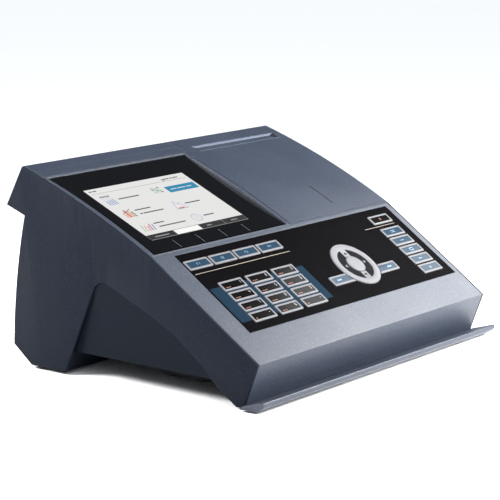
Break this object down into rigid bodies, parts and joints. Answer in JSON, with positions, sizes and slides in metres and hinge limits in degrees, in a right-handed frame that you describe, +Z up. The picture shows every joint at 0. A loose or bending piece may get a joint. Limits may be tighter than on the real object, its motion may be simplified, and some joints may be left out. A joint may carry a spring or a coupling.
{
  "type": "benchtop spectrophotometer",
  "caption": "Wedge-shaped benchtop photometer with a sloping display, a keypad deck, a sliding cell-compartment lid and rear sockets.",
  "frame": {"origin": "middle of the overall footprint, on the table under the feet", "axes": "+X to the user's right, +Y away from the user towards the rear sockets, +Z up"},
  "size_m": [0.404, 0.314, 0.1965],
  "materials": {
    "cover_grey": "fine-textured slate grey moulding",
    "trim_grey": "satin slate grey trim",
    "tub_slate": "fine-textured dark slate moulding",
    "pan_black": "matt black",
    "foot_rubber": "matt rubber",
    "display_glass": "gloss black touch glass",
    "lcd": "colour display",
    "overlay_black": "black keypad overlay",
    "key_white": "white key with a dark centre",
    "key_mat_rubber": "silicone key mat",
    "board_green": "circuit board",
    "steel": "zinc-plated steel",
    "aluminium": "milled aluminium",
    "optics_black": "matt black anodised",
    "lamp_glass": "clear quartz bulb",
    "grating_mirror": "ruled diffraction grating"
  },
  "bodies": {
    "housing": {"top_cover": "cover_grey", "side_walls": "cover_grey", "rear_cover": "cover_grey", "display_bezel": "trim_grey", "display_glass": "display_glass", "lcd_module": "lcd", "front_lip": "cover_grey", "rear_skirt": "tub_slate", "base_tub": "tub_slate", "base_pan": "pan_black", "rubber_feet": "foot_rubber", "rear_panel": "tub_slate", "case_screws": "steel", "service_hatch": "tub_slate", "keypad_overlay": "overlay_black", "key_mat": "key_mat_rubber", "keypad_board": "board_green", "cell_tray": "pan_black", "round_cell_well": "optics_black", "rectangular_cell_shaft": "optics_black", "optics_bench": "aluminium", "lamp_housing": "aluminium", "halogen_lamp": "lamp_glass", "monochromator": "optics_black", "detector_board": "board_green", "main_board": "board_green", "usb_a_socket": "steel", "usb_b_socket": "steel", "lan_socket": "steel", "dc_inlet": "pan_black"},
    "function_key_1": {"function_key_1": "key_white"},
    "function_key_2": {"function_key_2": "key_white"},
    "function_key_3": {"function_key_3": "key_white"},
    "function_key_4": {"function_key_4": "key_white"},
    "number_key_1": {"number_key_1": "key_white"},
    "number_key_2": {"number_key_2": "key_white"},
    "number_key_3": {"number_key_3": "key_white"},
    "number_key_4": {"number_key_4": "key_white"},
    "number_key_5": {"number_key_5": "key_white"},
    "number_key_6": {"number_key_6": "key_white"},
    "number_key_7": {"number_key_7": "key_white"},
    "number_key_8": {"number_key_8": "key_white"},
    "number_key_9": {"number_key_9": "key_white"},
    "number_key_10": {"number_key_10": "key_white"},
    "number_key_11": {"number_key_11": "key_white"},
    "number_key_12": {"number_key_12": "key_white"},
    "menu_key_1": {"menu_key_1": "key_white"},
    "menu_key_2": {"menu_key_2": "key_white"},
    "menu_key_3": {"menu_key_3": "key_white"},
    "menu_key_4": {"menu_key_4": "key_white"},
    "menu_key_5": {"menu_key_5": "key_white"},
    "power_key": {"power_key": "key_white"},
    "left_key": {"left_key": "key_white"},
    "right_key": {"right_key": "key_white"},
    "ok_button": {"ok_button": "key_white"},
    "nav_gimbal": {"nav_gimbal": "optics_black"},
    "nav_ring": {"nav_ring": "key_white"},
    "cell_lid": {"cell_lid": "cover_grey"},
    "grating": {"grating": "grating_mirror"},
    "power_rocker": {"power_rocker": "pan_black"}
  },
  "joints": [
    {"name": "function_key_1_press", "type": "slide", "parent": "housing", "child": "function_key_1", "axis": [0, 0.5672, -0.8236], "range_m": [0, 0.0008], "stiffness_N_per_m": 1500, "springref_m": -0.0002},
    {"name": "function_key_2_press", "type": "slide", "parent": "housing", "child": "function_key_2", "axis": [0, 0.5672, -0.8236], "range_m": [0, 0.0008], "stiffness_N_per_m": 1500, "springref_m": -0.0002},
    {"name": "function_key_3_press", "type": "slide", "parent": "housing", "child": "function_key_3", "axis": [0, 0.5672, -0.8236], "range_m": [0, 0.0008], "stiffness_N_per_m": 1500, "springref_m": -0.0002},
    {"name": "function_key_4_press", "type": "slide", "parent": "housing", "child": "function_key_4", "axis": [0, 0.5672, -0.8236], "range_m": [0, 0.0008], "stiffness_N_per_m": 1500, "springref_m": -0.0002},
    {"name": "number_key_1_press", "type": "slide", "parent": "housing", "child": "number_key_1", "axis": [0, 0.5672, -0.8236], "range_m": [0, 0.0008], "stiffness_N_per_m": 1500, "springref_m": -0.0002},
    {"name": "number_key_2_press", "type": "slide", "parent": "housing", "child": "number_key_2", "axis": [0, 0.5672, -0.8236], "range_m": [0, 0.0008], "stiffness_N_per_m": 1500, "springref_m": -0.0002},
    {"name": "number_key_3_press", "type": "slide", "parent": "housing", "child": "number_key_3", "axis": [0, 0.5672, -0.8236], "range_m": [0, 0.0008], "stiffness_N_per_m": 1500, "springref_m": -0.0002},
    {"name": "number_key_4_press", "type": "slide", "parent": "housing", "child": "number_key_4", "axis": [0, 0.5672, -0.8236], "range_m": [0, 0.0008], "stiffness_N_per_m": 1500, "springref_m": -0.0002},
    {"name": "number_key_5_press", "type": "slide", "parent": "housing", "child": "number_key_5", "axis": [0, 0.5672, -0.8236], "range_m": [0, 0.0008], "stiffness_N_per_m": 1500, "springref_m": -0.0002},
    {"name": "number_key_6_press", "type": "slide", "parent": "housing", "child": "number_key_6", "axis": [0, 0.5672, -0.8236], "range_m": [0, 0.0008], "stiffness_N_per_m": 1500, "springref_m": -0.0002},
    {"name": "number_key_7_press", "type": "slide", "parent": "housing", "child": "number_key_7", "axis": [0, 0.5672, -0.8236], "range_m": [0, 0.0008], "stiffness_N_per_m": 1500, "springref_m": -0.0002},
    {"name": "number_key_8_press", "type": "slide", "parent": "housing", "child": "number_key_8", "axis": [0, 0.5672, -0.8236], "range_m": [0, 0.0008], "stiffness_N_per_m": 1500, "springref_m": -0.0002},
    {"name": "number_key_9_press", "type": "slide", "parent": "housing", "child": "number_key_9", "axis": [0, 0.5672, -0.8236], "range_m": [0, 0.0008], "stiffness_N_per_m": 1500, "springref_m": -0.0002},
    {"name": "number_key_10_press", "type": "slide", "parent": "housing", "child": "number_key_10", "axis": [0, 0.5672, -0.8236], "range_m": [0, 0.0008], "stiffness_N_per_m": 1500, "springref_m": -0.0002},
    {"name": "number_key_11_press", "type": "slide", "parent": "housing", "child": "number_key_11", "axis": [0, 0.5672, -0.8236], "range_m": [0, 0.0008], "stiffness_N_per_m": 1500, "springref_m": -0.0002},
    {"name": "number_key_12_press", "type": "slide", "parent": "housing", "child": "number_key_12", "axis": [0, 0.5672, -0.8236], "range_m": [0, 0.0008], "stiffness_N_per_m": 1500, "springref_m": -0.0002},
    {"name": "menu_key_1_press", "type": "slide", "parent": "housing", "child": "menu_key_1", "axis": [0, 0.5672, -0.8236], "range_m": [0, 0.0008], "stiffness_N_per_m": 1500, "springref_m": -0.0002},
    {"name": "menu_key_2_press", "type": "slide", "parent": "housing", "child": "menu_key_2", "axis": [0, 0.5672, -0.8236], "range_m": [0, 0.0008], "stiffness_N_per_m": 1500, "springref_m": -0.0002},
    {"name": "menu_key_3_press", "type": "slide", "parent": "housing", "child": "menu_key_3", "axis": [0, 0.5672, -0.8236], "range_m": [0, 0.0008], "stiffness_N_per_m": 1500, "springref_m": -0.0002},
    {"name": "menu_key_4_press", "type": "slide", "parent": "housing", "child": "menu_key_4", "axis": [0, 0.5672, -0.8236], "range_m": [0, 0.0008], "stiffness_N_per_m": 1500, "springref_m": -0.0002},
    {"name": "menu_key_5_press", "type": "slide", "parent": "housing", "child": "menu_key_5", "axis": [0, 0.5672, -0.8236], "range_m": [0, 0.0008], "stiffness_N_per_m": 1500, "springref_m": -0.0002},
    {"name": "power_key_press", "type": "slide", "parent": "housing", "child": "power_key", "axis": [0, 0.5672, -0.8236], "range_m": [0, 0.0008], "stiffness_N_per_m": 1500, "springref_m": -0.0002},
    {"name": "left_key_press", "type": "slide", "parent": "housing", "child": "left_key", "axis": [0, 0.5672, -0.8236], "range_m": [0, 0.0008], "stiffness_N_per_m": 1500, "springref_m": -0.0002},
    {"name": "right_key_press", "type": "slide", "parent": "housing", "child": "right_key", "axis": [0, 0.5672, -0.8236], "range_m": [0, 0.0008], "stiffness_N_per_m": 1500, "springref_m": -0.0002},
    {"name": "ok_button_press", "type": "slide", "parent": "housing", "child": "ok_button", "axis": [0, 0.5672, -0.8236], "range_m": [0, 0.0008], "stiffness_N_per_m": 1500, "springref_m": -0.0002},
    {"name": "nav_tilt_up_down", "type": "hinge", "parent": "housing", "child": "nav_gimbal", "pos_m": [0.0554, -0.07738, 0.08428], "axis": [1, 0, 0], "range_deg": [-1.5, 1.5], "stiffness_Nm_per_rad": 0.6},
    {"name": "nav_tilt_left_right", "type": "hinge", "parent": "nav_gimbal", "child": "nav_ring", "pos_m": [0.0554, -0.07738, 0.08428], "axis": [0, 0.8236, 0.5672], "range_deg": [-1.5, 1.5], "stiffness_Nm_per_rad": 0.6},
    {"name": "cell_lid_slide", "type": "hinge", "parent": "housing", "child": "cell_lid", "pos_m": [0, 0.43872, -0.71919], "axis": [-1, 0, 0], "range_deg": [0, 6.4]},
    {"name": "grating_turn", "type": "hinge", "parent": "housing", "child": "grating", "pos_m": [0.04, 0.0485, 0.06], "axis": [0, 0, 1], "range_deg": [-20, 20]},
    {"name": "power_rocker_tilt", "type": "hinge", "parent": "housing", "child": "power_rocker", "pos_m": [-0.08, 0.127, 0.084], "axis": [1, 0, 0], "range_deg": [0, 12]}
  ]
}
